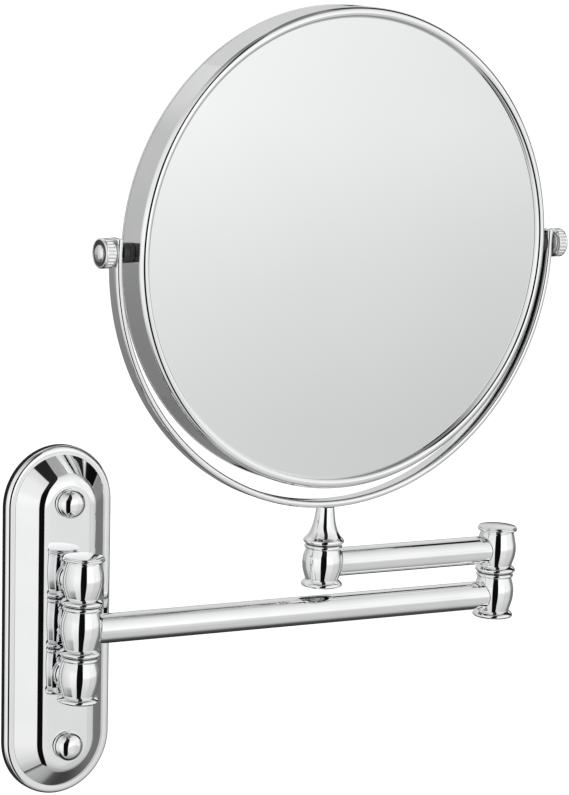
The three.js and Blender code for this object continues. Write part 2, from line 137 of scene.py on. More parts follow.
def curve_through(points):
    """A smooth curve through the points."""
    if len(points) == 2:
        return list(points)
    steps = 9
    ends = [points[0]] + list(points) + [points[-1]]
    dense = []
    for i in range(1, len(ends) - 2):
        p0, p1, p2, p3 = (Vector(p) for p in ends[i - 1:i + 3])
        for k in range(steps):
            t = k / steps
            dense.append(0.5 * (
                2 * p1 + (p2 - p0) * t
                + (2 * p0 - 5 * p1 + 4 * p2 - p3) * t ** 2
                + (3 * p1 - p0 - 3 * p2 + p3) * t ** 3
            ))
    dense.append(Vector(points[-1]))
    return [tuple(p) for p in dense]


def shortened(run, cut):
    """The run of points with a length cut off its end."""
    run = [Vector(p) for p in run]
    while len(run) > 2 and (run[-1] - run[-2]).length <= cut:
        cut -= (run[-1] - run[-2]).length
        run.pop()
    last = run[-1] - run[-2]
    run[-1] = run[-1] - last.normalized() * min(cut, last.length * 0.49)
    return [tuple(p) for p in run]


def run_between(points):
    """The curve from one corner to the next, cut back where they are soft. Its points end in (a, b, soft).
    A straight run gets a point close to each end, which keeps it flat under smooth shading."""
    run = curve_through([p[:2] for p in points])
    straight = len(run) == 2
    start_soft, end_soft = points[0][2], points[-1][2]
    if start_soft:
        run = shortened(run[::-1], start_soft)[::-1]
    if end_soft:
        run = shortened(run, end_soft)
    first, last = Vector(run[0]), Vector(run[-1])
    length = (last - first).length
    if straight and length > 0.5:
        near = min(0.12, 0.1 * length) / length
        run = [run[0], tuple(first.lerp(last, near)), tuple(first.lerp(last, 1 - near)), run[-1]]
    return run


def outline(points, closed=False, arc_steps=6):
    """A dense outline from a few points: (a, b) on a smooth curve, (a, b, soft) a corner rounded by soft."""
    points = list(points)
    if closed:
        points.append(points[0])
    corners = [i for i, p in enumerate(points) if len(p) == 3]
    runs = [run_between(points[i:j + 1]) for i, j in zip(corners, corners[1:])]
    dense = []
    for k, run in enumerate(runs):
        *corner, soft = points[corners[k]]
        if soft and (k or closed):
            before, corner, after = Vector(runs[k - 1][-1]), Vector(corner), Vector(run[0])
            for s in range(1, arc_steps):
                t = s / arc_steps
                dense.append(tuple(before * (1 - t) ** 2 + corner * 2 * t * (1 - t) + after * t ** 2))
        dense.extend(run)
    same = 1e-4
    clean = [dense[0]]
    for p in dense[1:]:
        if (Vector(p) - Vector(clean[-1])).length > same:
            clean.append(p)
    if closed and (Vector(clean[0]) - Vector(clean[-1])).length < same:
        clean.pop()
    return clean


def arc(centre, radius, first, last, steps):
    """Points on an arc. Angles in degrees run from the second coordinate's axis towards the first's."""
    turns = [math.radians(first + (last - first) * i / steps) for i in range(steps + 1)]
    return [(centre[0] + radius * math.sin(a), centre[1] + radius * math.cos(a)) for a in turns]


def rounded_section(half_a, half_b, radius, steps=7):
    """A rounded rectangle about (0, 0), anticlockwise."""
    radius = min(radius, half_a, half_b)
    points = []
    for quarter, (a, b) in enumerate([(1, 1), (-1, 1), (-1, -1), (1, -1)]):
        for s in range(steps + 1):
            angle = math.pi / 2 * (quarter + s / steps)
            points.append((
                a * (half_a - radius) + radius * math.cos(angle),
                b * (half_b - radius) + radius * math.sin(angle),
            ))
    return points


# ---------------------------------------------------------------- meshes

def welded(points, faces):
    """A bmesh of points in metres, those in the same place joined."""
    draft = bpy.data.meshes.new("draft")
    draft.from_pydata(points, [], faces)
    work = bmesh.new()
    work.from_mesh(draft)
    bpy.data.meshes.remove(draft)
    bmesh.ops.remove_doubles(work, verts=work.verts, dist=1e-7)
    return work


def finished(name, work, sharp):
    """An object from the bmesh, facing out and smooth except at edges over sharp degrees."""
    bmesh.ops.recalc_face_normals(work, faces=work.faces)
    mesh = bpy.data.meshes.new(name)
    work.to_mesh(mesh)
    work.free()
    mesh.shade_smooth()
    mesh.set_sharp_from_angle(angle=math.radians(sharp))
    obj = bpy.data.objects.new(name, mesh)
    bpy.context.scene.collection.objects.link(obj)
    return obj


def mesh_object(name, points, faces, sharp=32):
    return finished(name, welded(points, faces), sharp)


def bands(loops, count, loop_closed=True, path_closed=False):
    """Quads between neighbouring loops of count points."""
    faces = []
    for i in range(loops if path_closed else loops - 1):
        a, b = i * count, (i + 1) % loops * count
        for j in range(count if loop_closed else count - 1):
            k = (j + 1) % count
            faces.append((a + j, a + k, b + k, b + j))
    return faces


def skin(name, loops, loop_closed=True, path_closed=False, sharp=32):
    """A skin over loops of points in metres. An open path of closed loops is capped at both ends."""
    count = len(loops[0])
    points = [p for loop in loops for p in loop]
    faces = bands(len(loops), count, loop_closed, path_closed)
    if loop_closed and not path_closed:
        faces.append(tuple(range(count)))
        faces.append(tuple(reversed(range(len(points) - count, len(points)))))
    return mesh_object(name, points, faces, sharp)


AXES = {
    "x": (Vector((0, 1, 0)), Vector((0, 0, 1)), Vector((1, 0, 0))),
    "-x": (Vector((0, -1, 0)), Vector((0, 0, 1)), Vector((-1, 0, 0))),
    "y": (Vector((0, 0, 1)), Vector((1, 0, 0)), Vector((0, 1, 0))),
    "-y": (Vector((0, 0, 1)), Vector((-1, 0, 0)), Vector((0, -1, 0))),
    "z": (Vector((1, 0, 0)), Vector((0, 1, 0)), Vector((0, 0, 1))),
}


def lathe(name, profile, centre, axis="z", segments=96, ring=False, shape=None, sharp=32):
    """Turns a profile of (radius, height) in mm about an axis through centre. A ring's profile is a closed
    loop. shape(angle, radius, height) gives another radius where the piece isn't round."""
    u, v, w = AXES[axis]
    loops = []
    for i in range(segments):
        angle = 2 * math.pi * i / segments
        out = u * math.cos(angle) + v * math.sin(angle)
        radii = [shape(angle, r, h) if shape else r for r, h in profile]
        loops.append([centre + (out * r + w * h) * MM for r, (_, h) in zip(radii, profile)])
    return skin(name, loops, loop_closed=ring, path_closed=True, sharp=sharp)


# ---------------------------------------------------------------- materials

class Nodes:
    """A few short calls for building a node tree."""

    def __init__(self, tree):
        self.tree = tree
        tree.nodes.clear()

    def add(self, kind, inputs=None, **settings):
        node = self.tree.nodes.new(kind)
        for key, value in settings.items():
            setattr(node, key, value)
        for key, value in (inputs or {}).items():
            if isinstance(value, bpy.types.NodeSocket):
                self.tree.links.new(value, node.inputs[key])
            else:
                node.inputs[key].default_value = value
        return node

    def math(self, operation, a, b=0.0):
        return self.add("ShaderNodeMath", {0: a, 1: b}, operation=operation).outputs[0]

    def product(self, a, b):
        return self.math("MULTIPLY", a, b)

    def mix(self, share, a, b):
        """a where the share is 0, b where it is 1."""
        node = self.add("ShaderNodeMix", {"Factor": share, "A": a, "B": b}, data_type="FLOAT")
        return node.outputs["Result"]

    def span(self, value, low, high, to_low=0.0, to_high=1.0, smooth=False):
        """The value carried from low..high to to_low..to_high and held at both ends."""
        kind = "SMOOTHSTEP" if smooth else "LINEAR"
        ends = {"From Min": low, "From Max": high, "To Min": to_low, "To Max": to_high}
        node = self.add("ShaderNodeMapRange", {"Value": value, **ends}, interpolation_type=kind)
        return node.outputs["Result"]

    def within(self, low, high, soft, value):
        """1 where low < value < high, with soft edges."""
        rising = self.span(self.math("SUBTRACT", value, low), -soft, soft, smooth=True)
        falling = self.span(self.math("SUBTRACT", high, value), -soft, soft, smooth=True)
        return self.product(rising, falling)

    def ramp(self, value, stops, interpolation="EASE"):
        """A grey or coloured ramp of (position, level or colour)."""
        node = self.add("ShaderNodeValToRGB", {"Fac": value})
        ramp = node.color_ramp
        ramp.interpolation = interpolation
        while len(ramp.elements) < len(stops):
            ramp.elements.new(0.5)
        for element, (position, level) in zip(ramp.elements, stops):
            element.position = position
            element.color = (*level, 1) if isinstance(level, tuple) else (level, level, level, 1)
        return node.outputs["Color"]

    def noise(self, scale, detail=2.0, roughness=0.5, stretch=(1, 1, 1), distortion=0.0):
        """Noise over the piece's own coordinates, in features per metre."""
        coordinates = self.add("ShaderNodeTexCoord").outputs["Object"]
        placed = self.add("ShaderNodeMapping", {"Vector": coordinates, "Scale": stretch}).outputs[0]
        grain = {"Scale": scale, "Detail": detail, "Roughness": roughness, "Distortion": distortion}
        return self.add("ShaderNodeTexNoise", {"Vector": placed, **grain}).outputs["Fac"]

    def bump(self, height, strength, distance, normal=None):
        inputs = {"Height": height, "Strength": strength, "Distance": distance}
        if normal:
            inputs["Normal"] = normal
        return self.add("ShaderNodeBump", inputs).outputs["Normal"]


def make_material(name, build, **constants):
    """A Principled material. build(nodes) returns its linked inputs, constants go on its sockets."""
    material = bpy.data.materials.new(name)
    material.use_nodes = True
    nodes = Nodes(material.node_tree)
    shader = nodes.add("ShaderNodeBsdfPrincipled", build(nodes))
    for key, value in constants.items():
        shader.inputs[key.replace("_", " ")].default_value = value
    nodes.add("ShaderNodeOutputMaterial", {"Surface": shader.outputs[0]})
    return material


def chrome_inputs(nodes):
    """Polished plating: a very slight ripple, faint wiping marks and a few cloudy places."""
    cloud = nodes.noise(60, detail=3)
    wipe = nodes.noise(900, detail=4, stretch=(0.12, 1, 1))
    ripple = nodes.noise(220, detail=1)
    roughness = nodes.span(nodes.product(cloud, wipe), 0.1, 0.45, 0.012, 0.05)
    colour = nodes.ramp(cloud, [(0.3, (0.885, 0.89, 0.895)), (0.7, (0.915, 0.918, 0.922))])
    fine = nodes.bump(wipe, 0.05, 0.00001)
    return {"Base Color": colour, "Roughness": roughness, "Normal": nodes.bump(ripple, 0.06, 0.00004, fine)}


def mirror_inputs(nodes):
    """Silvered glass: almost perfect, with a breath of dust."""
    dust = nodes.noise(2500, detail=4, roughness=0.7)
    haze = nodes.noise(14, detail=2)
    roughness = nodes.span(nodes.product(dust, haze), 0.2, 0.5, 0.0, 0.012)
    colour = nodes.ramp(haze, [(0.3, (0.808, 0.818, 0.816)), (0.7, (0.822, 0.829, 0.828))])
    return {"Base Color": colour, "Roughness": roughness}


def steel_inputs(nodes):
    """Zinc-plated steel with turning marks."""
    grain = nodes.noise(1500, detail=5, roughness=0.65)
    cloud = nodes.noise(180, detail=3)
    colour = nodes.ramp(cloud, [(0.3, (0.50, 0.51, 0.52)), (0.7, (0.64, 0.64, 0.63))])
    return {
        "Base Color": colour,
        "Roughness": nodes.span(grain, 0.3, 0.7, 0.22, 0.38),
        "Normal": nodes.bump(grain, 0.15, 0.00004),
    }


def cast_inputs(nodes):
    """Raw die-cast zinc."""
    grain = nodes.noise(2200, detail=6, roughness=0.7)
    flow = nodes.noise(90, detail=4, distortion=1.2)
    colour = nodes.ramp(flow, [(0.25, (0.21, 0.215, 0.22)), (0.75, (0.34, 0.345, 0.35))])
    return {
        "Base Color": colour,
        "Roughness": nodes.span(grain, 0.3, 0.7, 0.42, 0.62),
        "Normal": nodes.bump(grain, 0.35, 0.00008),
    }


def nylon_and_shade_inputs(nodes):
    """Moulded black nylon. Its black is also painted shade: the ring in each knob's groove and the washers
    in the gaps between barrels.
    """
    grain = nodes.noise(1800, detail=3)
    cloud = nodes.noise(150, detail=2)
    colour = nodes.ramp(cloud, [(0.3, (0.018, 0.018, 0.019)), (0.7, (0.03, 0.03, 0.031))])
    return {
        "Base Color": colour,
        "Roughness": nodes.span(grain, 0.3, 0.7, 0.38, 0.5),
        "Normal": nodes.bump(grain, 0.1, 0.00005),
    }


def plug_inputs(nodes):
    """Grey moulded plug plastic with a matt skin."""
    grain = nodes.noise(2600, detail=4, roughness=0.6)
    cloud = nodes.noise(120, detail=2)
    colour = nodes.ramp(cloud, [(0.3, (0.25, 0.262, 0.27)), (0.7, (0.31, 0.32, 0.325))])
    return {
        "Base Color": colour,
        "Roughness": nodes.span(grain, 0.3, 0.7, 0.5, 0.66),
        "Normal": nodes.bump(grain, 0.25, 0.00006),
    }


def board_inputs(nodes):
    """Dark pressed card with fibres."""
    fibre = nodes.noise(3000, detail=5, roughness=0.7, stretch=(1, 1, 0.2))
    cloud = nodes.noise(200, detail=3)
    colour = nodes.ramp(cloud, [(0.3, (0.03, 0.03, 0.032)), (0.7, (0.055, 0.053, 0.052))])
    return {
        "Base Color": colour,
        "Roughness": nodes.span(fibre, 0.3, 0.7, 0.7, 0.9),
        "Normal": nodes.bump(fibre, 0.4, 0.00008),
    }


CHROME = make_material("polished_chrome", chrome_inputs, Metallic=1.0)
MIRROR = make_material("silvered_glass", mirror_inputs, Metallic=1.0)
STEEL = make_material("plated_steel", steel_inputs, Metallic=1.0)
CAST = make_material("die_cast_zinc", cast_inputs, Metallic=0.85)
NYLON_AND_SHADE = make_material("black_nylon_and_shade", nylon_and_shade_inputs, IOR=1.53)
PLUG = make_material("plug_plastic", plug_inputs, IOR=1.5)
BOARD = make_material("pressed_card", board_inputs)

FINISHES = {
    "chrome": CHROME, "mirror_glass": MIRROR, "steel": STEEL, "cast_metal": CAST,
    "nylon": NYLON_AND_SHADE, "plug_plastic": PLUG, "board": BOARD,
}


def stands_for(obj, node, slot):
    """obj shows instead of the CAD node, on its body, in the slot's finish."""
    obj.data.materials.append(FINISHES[slot])
    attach(obj, frame["nodes"][node]["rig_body"])
    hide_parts(node)
    return obj


# ---------------------------------------------------------------- hinge barrels

BORE = 3.15
POCKET_RADIUS = 6.2
POCKET_DEPTH = 6.5
FLARE = 8.9
WAIST = 7.05
BELLY = 8.75
SHANK_RADIUS = 3.0
WASHER_BORE = 3.2


def barrel_side(low, high, bead=True):
    """The outside of a barrel from its foot to its top: a flared foot, a long belly and a bead under the
    joint or, under a bolt's head, a plain neck."""
    h = high - low
    side = [
        (8.3, low, 0.3), (FLARE, low + 0.65), (FLARE, low + 1.25), (8.35, low + 1.95),
        (WAIST, low + 2.9, 0.3), (7.7, low + 0.25 * h), (8.5, low + 0.41 * h), (BELLY, low + 0.56 * h),
        (8.45, low + 0.72 * h),
    ]
    if bead:
        side += [(7.4, high - 1.9, 0.12), (8.0, high - 1.55), (8.25, high - 0.95), (8.0, high - 0.35)]
        return side + [(7.5, high, 0.1)]
    return side + [(7.5, high - 0.9, 0.2), (7.2, high - 0.35, 0.1), (7.2, high, 0.1)]


def side_radius(low, high, z):
    """The barrel's outside radius at height z."""
    dense = outline([(0, low, 0)] + barrel_side(low, high) + [(0, high, 0)])
    for (r0, z0), (r1, z1) in zip(dense, dense[1:]):
        if z0 <= z <= z1 and z1 > z0 and min(r0, r1) > BORE:
            return r0 + (r1 - r0) * (z - z0) / (z1 - z0)
    return WAIST


def barrel(node, axis, pocket, bead=True):
    """A bored barrel, with or without a pocket under it for a nut."""
    low, high = heights(node)
    inside = [(BORE, high, 0.2), (BORE, low, 0.2)]
    if pocket:
        ceiling = low + POCKET_DEPTH
        inside = [(BORE, high, 0.2), (BORE, ceiling, 0.1)]
        inside += [(POCKET_RADIUS, ceiling, 0.1), (POCKET_RADIUS, low, 0.3)]
    profile = outline(barrel_side(low, high, bead) + inside, closed=True)
    obj = lathe(f"{node}_turned", profile, axis, ring=True, segments=128)
    return stands_for(obj, node, "chrome")


def headed_bolt(node, axis, seat):
    """Domed head with a rolled rim under a fine groove, over a plain shank. The barrel's top is at seat."""
    low, high = heights(node)
    profile = outline([
        (0, low, 0), (2.6, low, 0.2), (SHANK_RADIUS, low + 0.6, 0.2),
        (SHANK_RADIUS, seat + 0.1, 0.05), (7.9, seat + 0.1, 0.2),
        (8.6, seat + 0.3), (8.85, seat + 0.8), (8.55, seat + 1.3), (8.1, seat + 1.45, 0.05),
        (8.1, seat + 1.6, 0.05), (8.5, seat + 1.75, 0.1), (8.3, seat + 2.0, 0.15), (6.6, seat + 2.35),
        (3.6, high - 0.12), (0, high, 0),
    ])
    return stands_for(lathe(f"{node}_turned", profile, axis, segments=128), node, "chrome")


def hex_nut(node, axis):
    """Chamfered hexagon nut with a bored, chamfered hole."""
    low, high = heights(node)
    flat = size(node).y / 2
    crest, bore, chamfer, slope = 0.97 * flat, 3.1, 0.4, math.tan(math.radians(60))
    loops = []
    segments = 96
    for i in range(segments):
        angle = 2 * math.pi * i / segments
        reach = flat / math.cos((angle % (math.pi / 3)) - math.pi / 6)
        drop = (reach - crest) / slope
        profile = [
            (bore, low + chamfer), (bore + chamfer, low), (crest, low), (reach, low + drop),
            (reach, high - drop), (crest, high), (bore + chamfer, high), (bore, high - chamfer),
        ]
        out = Vector((math.cos(angle), math.sin(angle), 0))
        loops.append([axis + (out * r + Vector((0, 0, z))) * MM for r, z in profile])
    obj = skin(f"{node}_hex", loops, path_closed=True, sharp=24)
    return stands_for(obj, node, "steel")


def spring_washer(node, axis):
    """Split ring, one end a little above the other."""
    low, high = heights(node)
    centre_radius, half_width, half_thick = 4.4, 1.0, 0.36
    section = rounded_section(half_width, half_thick, 0.1, steps=2)
    steps, gap = 80, math.radians(12)
    loops = []
    for i in range(steps + 1):
        turn = i / steps
        angle = gap / 2 + turn * (2 * math.pi - gap)
        out = Vector((math.cos(angle), math.sin(angle), 0))
        z = low + half_thick + turn * (high - low - 2 * half_thick)
        centre = axis + (out * centre_radius + Vector((0, 0, z))) * MM
        loops.append([centre + (out * a + Vector((0, 0, b))) * MM for a, b in section])
    return stands_for(skin(f"{node}_split", loops), node, "steel")


def flat_washer(node, axis):
    """Thin nylon friction washer, black, which also paints the shade in the gap between the barrels."""
    low, high = heights(node)
    outer, soft = size(node).x / 2, 0.06
    profile = outline([
        (WASHER_BORE, low, soft), (outer, low, soft), (outer, high, soft), (WASHER_BORE, high, soft),
    ], closed=True, arc_steps=3)
    return stands_for(lathe(f"{node}_ring", profile, axis, ring=True, segments=72), node, "nylon")


# ---------------------------------------------------------------- wall side

def leaning(obj):
    """Turns a piece that belongs to the plate by the plate's lean."""
    obj.data.transform(Matrix.Rotation(PLATE_LEAN, 4, "Y"))
    return obj


def stadium_loop(half_width, depth):
    """The plate's outline drawn in or out to this half width, depth in front of the wall."""
    steps = 48
    loop = []
    for end, centre in enumerate((PLATE_STRAIGHT, -PLATE_STRAIGHT)):
        for i in range(steps + 1):
            angle = math.pi * (end + i / steps)
            x, z = half_width * math.cos(angle), centre + half_width * math.sin(angle)
            loop.append(Vector((x, -depth, z)) * MM)
    return loop


PLATE_SHEET = 1.5
PLATE_HOLES = {
    "wall_screw_upper": 2.6, "wall_screw_lower": 2.6, "knuckle_screw_upper": 2.1, "knuckle_screw_lower": 2.1,
}


def plate_section():
    """(half width, depth) from the rim of the flat's front, over the outside, to the rim of its back."""
    width, depth = PLATE_HALF_WIDTH, PLATE_DEPTH
    flat, shoulder, slope = 9.2, 7.8, 41
    flange, edge = 4.5, 2.2
    section = [(flat - 1.0, depth)] + arc((flat, depth - shoulder), shoulder, 0, slope, 24)
    foot = section[-1][0] + (section[-1][1] - flange) / math.tan(math.radians(slope))
    section += outline([(*section[-1], 0), (foot, flange, 0.12), (width - edge, flange, 0)])[1:]
    section += arc((width - edge, flange - edge), edge, 0, 90, 14)[1:]
    inside = outline([
        (width, flange - edge, 0), (width, 0, 0.15), (width - PLATE_SHEET, 0, 0.15),
        (width - PLATE_SHEET, 1.1, 0.5), (width - 4.6, 2.1, 0.6),
        (flat + 3.2, depth - PLATE_SHEET - 0.9, 0.8), (flat + 1.6, depth - PLATE_SHEET, 0.6),
        (flat - 1.0, depth - PLATE_SHEET, 0),
    ])
    return section + inside[1:]


def screw_hole(work, node, radius, rims):
    """Adds a hole's wall to the plate's bmesh, and its two rings of edges to the rims they belong to."""
    around = 32
    rings = []
    for level, edges in rims.items():
        centre = at(middle(node), y=-level * MM)
        ring = []
        for i in range(around):
            angle = 2 * math.pi * i / around
            out = Vector((math.cos(angle), 0, math.sin(angle)))
            ring.append(work.verts.new(centre + out * radius * MM))
        edges.extend(work.edges.new((ring[i - 1], ring[i])) for i in range(around))
        rings.append(ring)
    front, back = rings
    for i in range(around):
        work.faces.new((front[i - 1], front[i], back[i], back[i - 1]))


def is_rim(edge, level):
    """Whether it is an open edge at that depth of the plate."""
    return len(edge.link_faces) == 1 and all(abs(v.co.y + level * MM) < 1e-6 for v in edge.verts)


def plate_with_holes():
    """The pressed cover: flat, broad round shoulder, bevel, flange and rounded edge, with its hollow back
    and four screw holes."""
    loops = [stadium_loop(half_width, depth) for half_width, depth in plate_section()]
    work = welded([p for loop in loops for p in loop], bands(len(loops), len(loops[0])))
    rims = {PLATE_DEPTH: [], PLATE_DEPTH - PLATE_SHEET: []}
    for level, edges in rims.items():
        edges.extend(e for e in work.edges if is_rim(e, level))
    for node, radius in PLATE_HOLES.items():
        screw_hole(work, node, radius, rims)
    for edges in rims.values():
        bmesh.ops.triangle_fill(work, use_beauty=True, edges=edges)
    return stands_for(leaning(finished("wall_plate_pressed", work, sharp=40)), "wall_plate", "chrome")


def knuckle_foot(node, axis, z):
    """The arm from a fixed barrel back to the plate, waisted, with a small flange on the plate."""
    reach = -axis.y / MM - PLATE_DEPTH
    end = reach - 5.5                   # inside the barrel's wall
    profile = outline([
        (0, 0, 0), (6.4, 0, 0.25), (6.4, 0.9, 0.35), (5.4, 1.5, 0.5), (4.9, reach * 0.55),
        (5.2, end, 0.3), (0, end, 0),
    ])
    base = Vector((axis.x, -PLATE_DEPTH * MM, z))
    obj = lathe(f"{node}_foot", profile, base, "-y", segments=72)
    obj.data.materials.append(CHROME)
    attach(obj, "wall_side")
    return obj


def screw_cap(node):
    """Snap-on dome over a wall screw."""
    centre = at(middle(node), y=-PLATE_DEPTH * MM)
    low, high = 0.05, size(node).y
    profile = outline([
        (0, high - 1.2, 0), (2.4, high - 1.5), (4.3, low + 3.1), (5.1, low + 1.9), (5.5, low, 0.1),
        (5.8, low, 0.25), (6.25, low + 0.5), (6.25, low + 1.5), (5.85, low + 2.8), (4.7, low + 4.2),
        (2.6, high - 0.25), (0, high, 0),
    ])
    obj = lathe(f"{node}_dome", profile, centre, "-y", segments=96)
    return stands_for(leaning(obj), node, "chrome")


def cap_seat(node):
    """Nylon ring under a screw's head that its cap snaps over."""
    front, back = depths(node)
    bore, outer = 2.6, 5.0
    profile = outline([
        (bore, back, 0.1), (outer, back, 0.1), (outer, front, 0.25), (bore, front, 0.1),
    ], closed=True)
    obj = lathe(f"{node}_moulded", profile, at(middle(node), y=0), "y", segments=64, ring=True)
    return stands_for(leaning(obj), node, "nylon")


def wall_screw(node):
    """Countersunk wood screw with a real thread."""
    head, tip = depths(node)
    pitch, root, crest, taper_length = 1.7, 1.55, 2.1, 5.0
    head_radius, thread_start = 4.05, 3.0
    ridge_slope, ridge_peak = 3.4, crest + 0.25
    rows_per_turn = 8
    count = int((tip - thread_start) / pitch * rows_per_turn)
    profile = [(0, head), (2.4, head + 0.15), (3.6, head + 0.9), (head_radius, head + 1.9)]
    profile += [(head_radius, head + 2.2), (crest, head + 2.3), (crest, thread_start - 0.5)]
    profile.append((root, thread_start))
    profile += [(root, thread_start + (tip - thread_start) * i / count) for i in range(1, count)]
    profile.append((0, tip))

    def threaded(angle, r, y):
        if y <= thread_start or y >= tip:
            return r
        phase = (y / pitch - angle / (2 * math.pi)) % 1
        ridge = max(0, 1 - abs(phase - 0.5) * ridge_slope)
        taper = min(1, (tip - y) / taper_length)
        return (root + (ridge_peak - root) * ridge) * taper

    centre = at(middle(node), y=0)
    obj = lathe(f"{node}_threaded", profile, centre, "y", segments=48, shape=threaded, sharp=50)
    return stands_for(leaning(obj), node, "steel")


def wall_plug(node):
    """Ribbed plug with four slots and a collar at the wall."""
    near, far = depths(node)
    bore, slot_floor, slot_half_angle = 2.2, 2.35, 0.11
    slot_start = near + 6
    outer = size(node).x / 2
    profile = [(bore, near), (outer, near), (outer, near + 0.8), (outer - 0.35, near + 1.1)]
    ribs, plain_end = 9, 2.5
    pitch = (far - near - 2 * plain_end) / ribs
    for i in range(ribs):
        start = near + plain_end + i * pitch
        profile += [(outer - 0.4, start), (outer, start + 0.25 * pitch)]
        profile += [(outer - 0.15, start + 0.8 * pitch), (outer - 0.4, start + 0.95 * pitch)]
    profile += [(outer - 0.5, far - 1.5), (outer - 1.1, far), (2.0, far)]

    def slotted(angle, r, y):
        if y < slot_start or r <= bore:
            return r
        away = abs((angle + math.pi / 4) % (math.pi / 2) - math.pi / 4)
        return slot_floor if away < slot_half_angle else r

    centre = at(middle(node), y=0)
    obj = lathe(f"{node}_ribbed", profile, centre, "y", segments=144, ring=True, shape=slotted, sharp=30)
    return stands_for(leaning(obj), node, "plug_plastic")


# ---------------------------------------------------------------- arms

def arm_tube(node, left, right):
    """Tube whose ends follow the barrels they are brazed to, with a small fillet all round.
    left and right are (axis, node of the barrel)."""
    (left_axis, left_barrel), (right_axis, right_barrel) = left, right
    z_mid, y_mid = middle(node).z / MM, middle(node).y / MM
    wall, overlap = 1.2, 0.15
    fillet, fillet_rise, fillet_steps = 0.9, 0.5, 5
    around = 96

    def reach(angle, barrel_node):
        """From the barrel's axis to its surface, along the tube."""
        low, high = heights(barrel_node)
        side = TUBE_RADIUS * math.sin(angle)
        across = side_radius(low, high, z_mid + TUBE_RADIUS * math.cos(angle))
        return math.sqrt(max(across ** 2 - side ** 2, 1.0)) - overlap

    def flared(distance):
        """The tube's outside radius near its end."""
        return TUBE_RADIUS + fillet_rise * (1 - distance / fillet) ** 2.5

    fillet_distances = [fillet * k / fillet_steps for k in range(fillet_steps + 1)]
    loops = []
    for i in range(around):
        angle = 2 * math.pi * i / around
        start = left_axis.x / MM + reach(angle, left_barrel)
        end = right_axis.x / MM - reach(angle, right_barrel)
        outside = [(start + d, flared(d)) for d in fillet_distances]
        outside += [(start + (end - start) * k / 12, TUBE_RADIUS) for k in range(1, 12)]
        outside += [(end - d, flared(d)) for d in fillet_distances[::-1]]
        inside = [(end - (end - start) * k / 4, TUBE_RADIUS - wall) for k in range(5)]
        loops.append([
            Vector((x, y_mid + r * math.sin(angle), z_mid + r * math.cos(angle))) * MM
            for x, r in outside + inside
        ])
    return stands_for(skin(f"{node}_drawn", loops, path_closed=True, sharp=50), node, "chrome")


# ---------------------------------------------------------------- post and yoke

def swivel_post():
    """Flared foot over the socket, tapering up to the yoke, on a plain stem that goes down through it."""
    low, high = heights("swivel_post")
    joint_gap, into_yoke = 0.5, 0.05
    base, top = heights("post_socket")[1] + joint_gap, high + into_yoke
    profile = outline([
        (0, low, 0), (2.6, low, 0.2), (SHANK_RADIUS, low + 0.6, 0.2), (SHANK_RADIUS, base, 0.05),
        (8.2, base, 0.25), (8.75, base + 0.6), (8.75, base + 1.5), (8.2, base + 2.15, 0.25),
        (7.3, base + 3.1), (5.9, base + 5.5), (4.85, base + 8.9), (4.25, base + 12.4), (3.85, top, 0.1),
        (0, top, 0),
    ])
    return stands_for(lathe("swivel_post_turned", profile, POST_AXIS, segments=128), "swivel_post", "chrome")


def yoke():
    """Flat bar with rounded edges, bent to a half ring, its straight ends cut square above the pivots."""
    radius = YOKE_OUTER - YOKE_THICKNESS / 2
    centre = MIRROR_CENTRE - Vector((0, 0, YOKE_DROP * MM))
    half = YOKE_THICKNESS / 2
    section, rim, tip = (
        rounded_section(half - cut, YOKE_HALF_WIDTH - cut, 1.4 - cut) for cut in (0, 0.09, 0.3)
    )
    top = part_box("yoke")[1].z
    level = (top - centre.z) / MM

    def straight(side, height, shape):
        return [centre + Vector((side * (radius + a), b, height)) * MM for a, b in shape]

    def end(side):
        """From the square tip down to the bend."""
        drops = [(0, tip), (0.09, rim), (0.3, section), (0.45, section), (level - 0.3, section)]
        return [straight(side, level - drop, shape) for drop, shape in drops]

    bend = []
    count = 180
    for i in range(count + 1):
        angle = -math.pi * i / count
        out = Vector((math.cos(angle), 0, math.sin(angle)))
        bend.append([centre + (out * (radius + a) + Vector((0, b, 0))) * MM for a, b in section])
    loops = end(1) + bend + end(-1)[::-1]
    return stands_for(skin("yoke_bent", loops, sharp=40), "yoke", "chrome")


def yoke_screw():
    """Countersunk, with a round recess in its head."""
    low, high = heights("yoke_screw")
    profile = outline([
        (0, low, 0), (1.4, low, 0.2), (1.4, high - 1.5, 0.1), (2.85, high - 0.15, 0.12), (2.7, high, 0.1),
        (0.9, high, 0.1), (0.7, high - 0.8, 0.1), (0, high - 0.8, 0),
    ])
    return stands_for(lathe("yoke_screw_turned", profile, POST_AXIS, segments=48), "yoke_screw", "steel")


# ---------------------------------------------------------------- mirror head

HEAD_SEGMENTS = 320
GLASS_FACE = 7.2                        # from the mirror's middle
GLASS_THICKNESS = 2.0
KNOB_BORE = 2.7


def rim_band():
    """The drum's side wall."""
    half = size("rim_band").y / 2
    outer = MIRROR_RADIUS
    inner = outer - 1.5
    profile = outline([
        (inner, -half, 0.1), (outer, -half, 0.1), (outer, half, 0.1), (inner, half, 0.1),
    ], closed=True)
    obj = lathe("rim_band_rolled", profile, MIRROR_CENTRE, "y", segments=HEAD_SEGMENTS, ring=True)
    return stands_for(obj, "rim_band", "chrome")


def bezel(node, axis):
    """Rounded ring that laps over the glass. Depths run from the mirror's middle towards this face."""
    r = MIRROR_RADIUS
    profile = outline([
        (r - 2.2, 6.6, 0.1), (r + 0.2, 6.6, 0.15), (r + 0.2, 7.4, 0.1),
        (r + 0.05, 7.9), (r - 0.45, 8.6), (r - 1.1, 9.2), (r - 2.0, 9.55), (r - 2.9, 9.5), (r - 3.75, 8.95),
        (r - 4.35, 8.1), (r - 4.6, 7.32, 0.1), (r - 2.2, 7.32, 0.1),
    ], closed=True)
    obj = lathe(f"{node}_rolled", profile, MIRROR_CENTRE, axis, segments=HEAD_SEGMENTS, ring=True)
    return stands_for(obj, node, "chrome")


